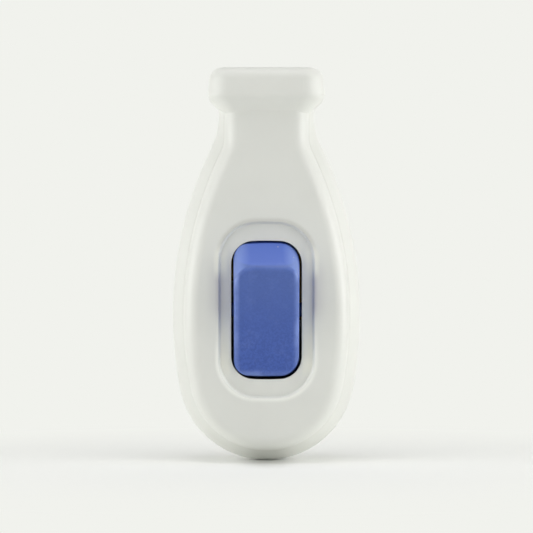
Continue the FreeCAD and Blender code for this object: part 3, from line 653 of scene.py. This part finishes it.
class SWITCH_OT_finish_plunger_and_grip(bpy.types.Operator):
    """Finish the plunger and the cord grip, and wind the plunger's spring"""
    bl_idname = "switch.finish_plunger_and_grip"
    bl_label = "Finish plunger and grip"

    def execute(self, context):
        looks = context.scene.switch_looks
        paint(nylon(looks), "plunger", "cord_grip")
        steel = sheet_metal("spring_steel", looks.steel_colour, looks.spring_stain,
                            grain=0.08, stretch=(1, 8, 1), rough_level=0.22)
        paint(steel, "plunger_spring")
        outward = -Vector(PLUNGER_SLIDE["axis"])
        low, high = SPRING_SPAN
        first = low + SPRING_GAP + SPRING_WIRE
        last = high - SPRING_GAP - SPRING_WIRE
        start = ROCKER_PIVOT + outward * first * MM
        coil = wind("plunger_spring_coil", [start], "rocker", {
            "Radius": SPRING_RADIUS * MM,
            "Pitch": (last - first) / SPRING_TURNS * MM,
            "Turns": float(SPRING_TURNS),
            "Wire": SPRING_WIRE * MM,
            "Sides": SPRING_SIDES,
            "Lean": (math.atan2(-outward.y, outward.z), 0, 0),
            "Finish": steel,
        })
        coil.data.shade_smooth()
        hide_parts("plunger_spring")
        shortest = high - low - PLUNGER_SLIDE["range_m"][1] / MM
        shortest / (high - low)
        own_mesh(coil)
        return {"FINISHED"}


class SWITCH_OT_thread_screws(bpy.types.Operator):
    """Finish the screws and wind a thread on each of their shanks"""
    bl_idname = "switch.thread_screws"
    bl_label = "Thread screws"

    def execute(self, context):
        looks = context.scene.switch_looks
        steel = sheet_metal("screw_steel", looks.steel_colour, looks.screw_stain,
                            grain=0.14, stretch=(1, 6, 1), rough_level=0.27)
        paint(steel, "terminal_screws", "cord_grip_screws", "housing_screws")
        for name, node, head_radius, shank_radius, length, way in SCREW_SETS:
            low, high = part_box(node)
            inset = head_radius * MM
            upright = high.z - low.z > high.x - low.x
            if upright:
                spots = [(0, low.z + inset), (0, high.z - inset)]
            else:
                middle = (low.z + high.z) / 2
                spots = [(low.x + inset, middle), (high.x - inset, middle)]
            tip = (high.y if way > 0 else low.y) - way * BARE_TIP * MM
            wind(name, [(x, tip, z) for x, z in spots], "housing", {
                "Radius": shank_radius * MM - looks.thread_ridge * RIDGE_SINK,
                "Pitch": looks.thread_pitch,
                "Turns": length * MM / looks.thread_pitch,
                "Wire": looks.thread_ridge,
                "Sides": RIDGE_SIDES,
                "Lean": (way * math.radians(90), 0, 0),
                "Finish": steel,
            })
        return {"FINISHED"}


def sweep_material(stage):
    """Pale floor that keeps the shadow, glows a little off the foot, and fades into an even backdrop."""
    finish = Finish("floor_sweep")
    x, y, _ = finish.axes()
    tone = finish.blend(finish.cloud(size=1.5, detail=3.0),
                        shade(stage.floor_colour, 0.99), shade(stage.floor_colour, 1.01))
    # Painted contact shadow: no glow in a spot under and before the foot
    off_spot = y - SPOT_Y
    from_foot = (x * x + off_spot * off_spot * SPOT_SQUEEZE).root()
    glow = finish.blend(finish.ramp(from_foot, *SPOT_STEP), (0, 0, 0, 1), (1, 1, 1, 1))
    finish.surface(Base_Color=tone, Specular_IOR_Level=0.0, Emission_Color=glow,
                   Emission_Strength=stage.floor_glow)
    lit = Feed(finish, finish.shader.outputs["BSDF"])
    plain = finish.node("ShaderNodeEmission", values={"Color": shade(stage.backdrop_colour), "Strength": 1.0})
    far = finish.ramp((x * x + y * y).root(), *BACKDROP_STEP) * finish.sight()
    mixed = finish.node("ShaderNodeMixShader", values={0: far, 1: lit, 2: plain})
    finish.feed(finish.tree.nodes["Material Output"].inputs["Surface"], mixed)
    return finish.material


def lay_floor(scene, stage, ground):
    """Floor that bends up into a wall behind the switch."""
    profile = [(FLOOR_FRONT, ground), (FLOOR_BACK, ground)]
    for step in range(1, BEND_STEPS + 1):
        turn = math.radians(90) * step / BEND_STEPS
        profile.append((FLOOR_BACK + BEND_RADIUS * math.sin(turn),
                        ground + BEND_RADIUS - BEND_RADIUS * math.cos(turn)))
    profile.append((FLOOR_BACK + BEND_RADIUS, ground + WALL_TOP))
    corners = [(side * HALF_WIDTH, y, z) for y, z in profile for side in (-1, 1)]
    faces = [(2 * n, 2 * n + 1, 2 * n + 3, 2 * n + 2) for n in range(len(profile) - 1)]
    mesh = bpy.data.meshes.new("floor_sweep")
    mesh.from_pydata(corners, [], faces)
    mesh.shade_smooth()
    mesh.materials.append(sweep_material(stage))
    floor = bpy.data.objects.new("floor_sweep", mesh)
    scene.collection.objects.link(floor)


def hang_lamps(scene, stage):
    """Soft lamps that all face the middle of the switch."""
    target = Vector((0, 0, (cad_box[0].z + cad_box[1].z) / 2))
    for name, place, width, power in LAMPS:
        data = bpy.data.lights.new(name, "AREA")
        data.shape = "SQUARE"
        data.size = width
        data.energy = getattr(stage, power)
        lamp = bpy.data.objects.new(name, data)
        lamp.location = place
        lamp.rotation_euler = (target - Vector(place)).to_track_quat("-Z", "Y").to_euler()
        scene.collection.objects.link(lamp)


def light_world(scene, stage):
    """Even weak light from all round, behind which the camera sees the backdrop's colour."""
    world = bpy.data.worlds.new("studio")
    world.use_nodes = True
    scene.world = world
    nodes = Nodes(world.node_tree)
    background = world.node_tree.nodes["Background"]
    nodes.feed(background.inputs["Color"], (1, 1, 1, 1))
    nodes.feed(background.inputs["Strength"], stage.ambient)
    even = Feed(nodes, background.outputs[0])
    seen = nodes.node("ShaderNodeBackground", values={"Color": shade(stage.backdrop_colour)})
    mixed = nodes.node("ShaderNodeMixShader", values={0: nodes.sight(), 1: even, 2: seen})
    nodes.feed(world.node_tree.nodes["World Output"].inputs["Surface"], mixed)


def set_camera(scene, stage, ground):
    """Camera straight in front of the switch."""
    data = bpy.data.cameras.new("photo_camera")
    data.sensor_width = SENSOR_WIDTH
    data.lens = SENSOR_WIDTH / 2 / math.tan(stage.camera_angle / 2)
    camera = bpy.data.objects.new("photo_camera", data)
    camera.location = (0, -stage.camera_distance, ground + stage.camera_height)
    camera.rotation_euler = (math.radians(90), 0, 0)
    scene.collection.objects.link(camera)
    scene.camera = camera


class SWITCH_OT_set_stage(bpy.types.Operator):
    """Build the floor, the lamps, the world and the camera"""
    bl_idname = "switch.set_stage"
    bl_label = "Set stage"

    def execute(self, context):
        scene = context.scene
        stage = scene.switch_stage
        ground = cad_box[0].z
        lay_floor(scene, stage, ground)
        hang_lamps(scene, stage)
        light_world(scene, stage)
        set_camera(scene, stage, ground)
        scene.view_settings.view_transform = "Standard"
        return {"FINISHED"}


class SWITCH_PT_sidebar(bpy.types.Panel):
    """Lists the steps and values of the cord switch"""
    bl_idname = "SWITCH_PT_sidebar"
    bl_label = "Cord switch"
    bl_space_type = "VIEW_3D"
    bl_region_type = "UI"
    bl_category = "Cord switch"

    def draw(self, context):
        for operator in OPERATORS:
            self.layout.operator(operator.bl_idname)
        for group in (context.scene.switch_looks, context.scene.switch_stage):
            for name in group.__annotations__:
                self.layout.prop(group, name)


OPERATORS = (
    SWITCH_OT_mould_shells,
    SWITCH_OT_mould_rocker,
    SWITCH_OT_finish_contacts,
    SWITCH_OT_finish_plunger_and_grip,
    SWITCH_OT_thread_screws,
    SWITCH_OT_set_stage,
)
CLASSES = (SwitchLooks, SwitchStage) + OPERATORS + (SWITCH_PT_sidebar,)


def register():
    for kind in CLASSES:
        bpy.utils.register_class(kind)
    bpy.types.Scene.switch_looks = bpy.props.PointerProperty(type=SwitchLooks)
    bpy.types.Scene.switch_stage = bpy.props.PointerProperty(type=SwitchStage)


def unregister():
    del bpy.types.Scene.switch_stage
    del bpy.types.Scene.switch_looks
    for kind in reversed(CLASSES):
        bpy.utils.unregister_class(kind)


def main():
    """Register the add-on and run its steps."""
    register()
    bpy.ops.switch.mould_shells()
    bpy.ops.switch.mould_rocker()
    bpy.ops.switch.finish_contacts()
    bpy.ops.switch.finish_plunger_and_grip()
    bpy.ops.switch.thread_screws()
    bpy.ops.switch.set_stage()


if __name__ == "__main__":
    main()
